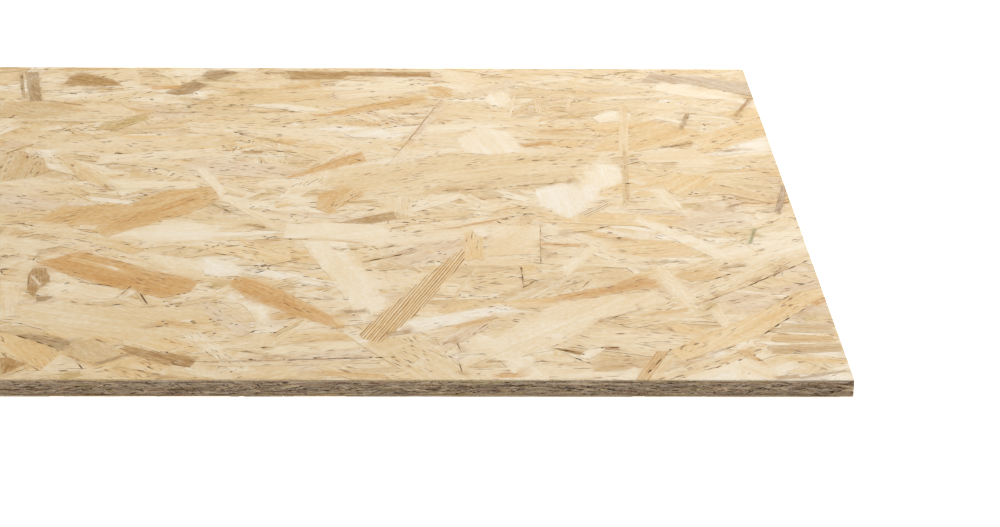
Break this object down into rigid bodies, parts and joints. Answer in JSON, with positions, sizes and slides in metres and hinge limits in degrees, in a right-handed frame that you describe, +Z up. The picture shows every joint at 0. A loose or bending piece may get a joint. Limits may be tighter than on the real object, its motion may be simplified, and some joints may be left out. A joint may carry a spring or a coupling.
{
  "type": "osb panel",
  "caption": "Flat rectangular panel of oriented strand board with square sawn edges, for sheathing, flooring, shelving and packing.",
  "frame": {"origin": "middle of the underside", "axes": "+X along the length and the face strands, +Y across the width, +Z up through the thickness"},
  "size_m": [1.25, 0.625, 0.012],
  "materials": {
    "strand_board": "pressed wood strands, pale and matt, unsanded"
  },
  "bodies": {
    "root": {"osb_panel": "strand_board"}
  },
  "joints": []
}
